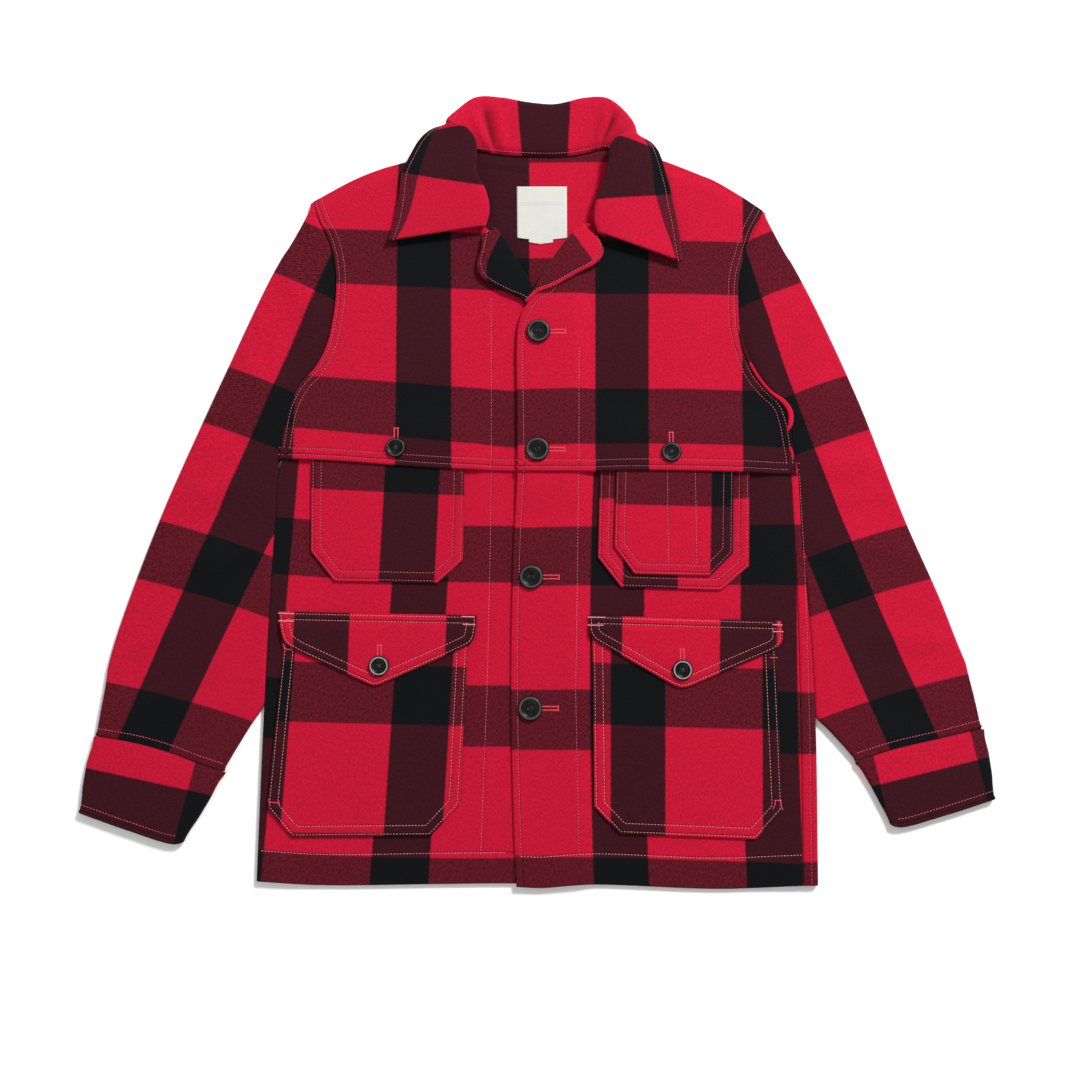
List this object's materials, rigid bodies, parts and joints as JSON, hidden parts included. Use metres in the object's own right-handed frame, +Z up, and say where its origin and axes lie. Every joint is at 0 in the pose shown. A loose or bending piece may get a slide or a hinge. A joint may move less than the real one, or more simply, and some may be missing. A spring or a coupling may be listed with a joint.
{
  "type": "mackinaw jacket",
  "caption": "Mackinaw jacket in red and black checked wool with yoke, patch pockets and pointed flaps, buttoned and laid flat.",
  "frame": {"origin": "on the surface the jacket lies on, below the middle of its outline seen from above", "axes": "+Z up, +Y towards the collar, +X towards the sleeve of the wearer's left arm"},
  "size_m": [0.889, 0.8066, 0.0208],
  "materials": {
    "wool_check": "napped twill",
    "button": "satin",
    "label": "woven"
  },
  "bodies": {
    "root": {"back_panel": "wool_check", "front_right": "wool_check", "front_left": "wool_check", "yoke_right": "wool_check", "yoke_left": "wool_check", "sleeve_right": "wool_check", "sleeve_left": "wool_check", "cuff_right": "wool_check", "cuff_left": "wool_check", "collar": "wool_check", "lapel_right": "wool_check", "lapel_left": "wool_check", "chest_pocket_right": "wool_check", "chest_pocket_left_outer": "wool_check", "chest_pocket_left_inner": "wool_check", "hip_pocket_right": "wool_check", "hip_pocket_left": "wool_check", "hip_flap_right": "wool_check", "hip_flap_left": "wool_check", "front_button_1": "button", "front_button_2": "button", "front_button_3": "button", "front_button_4": "button", "yoke_button_right": "button", "yoke_button_left": "button", "flap_button_right": "button", "flap_button_left": "button", "neck_label": "label"}
  },
  "joints": []
}
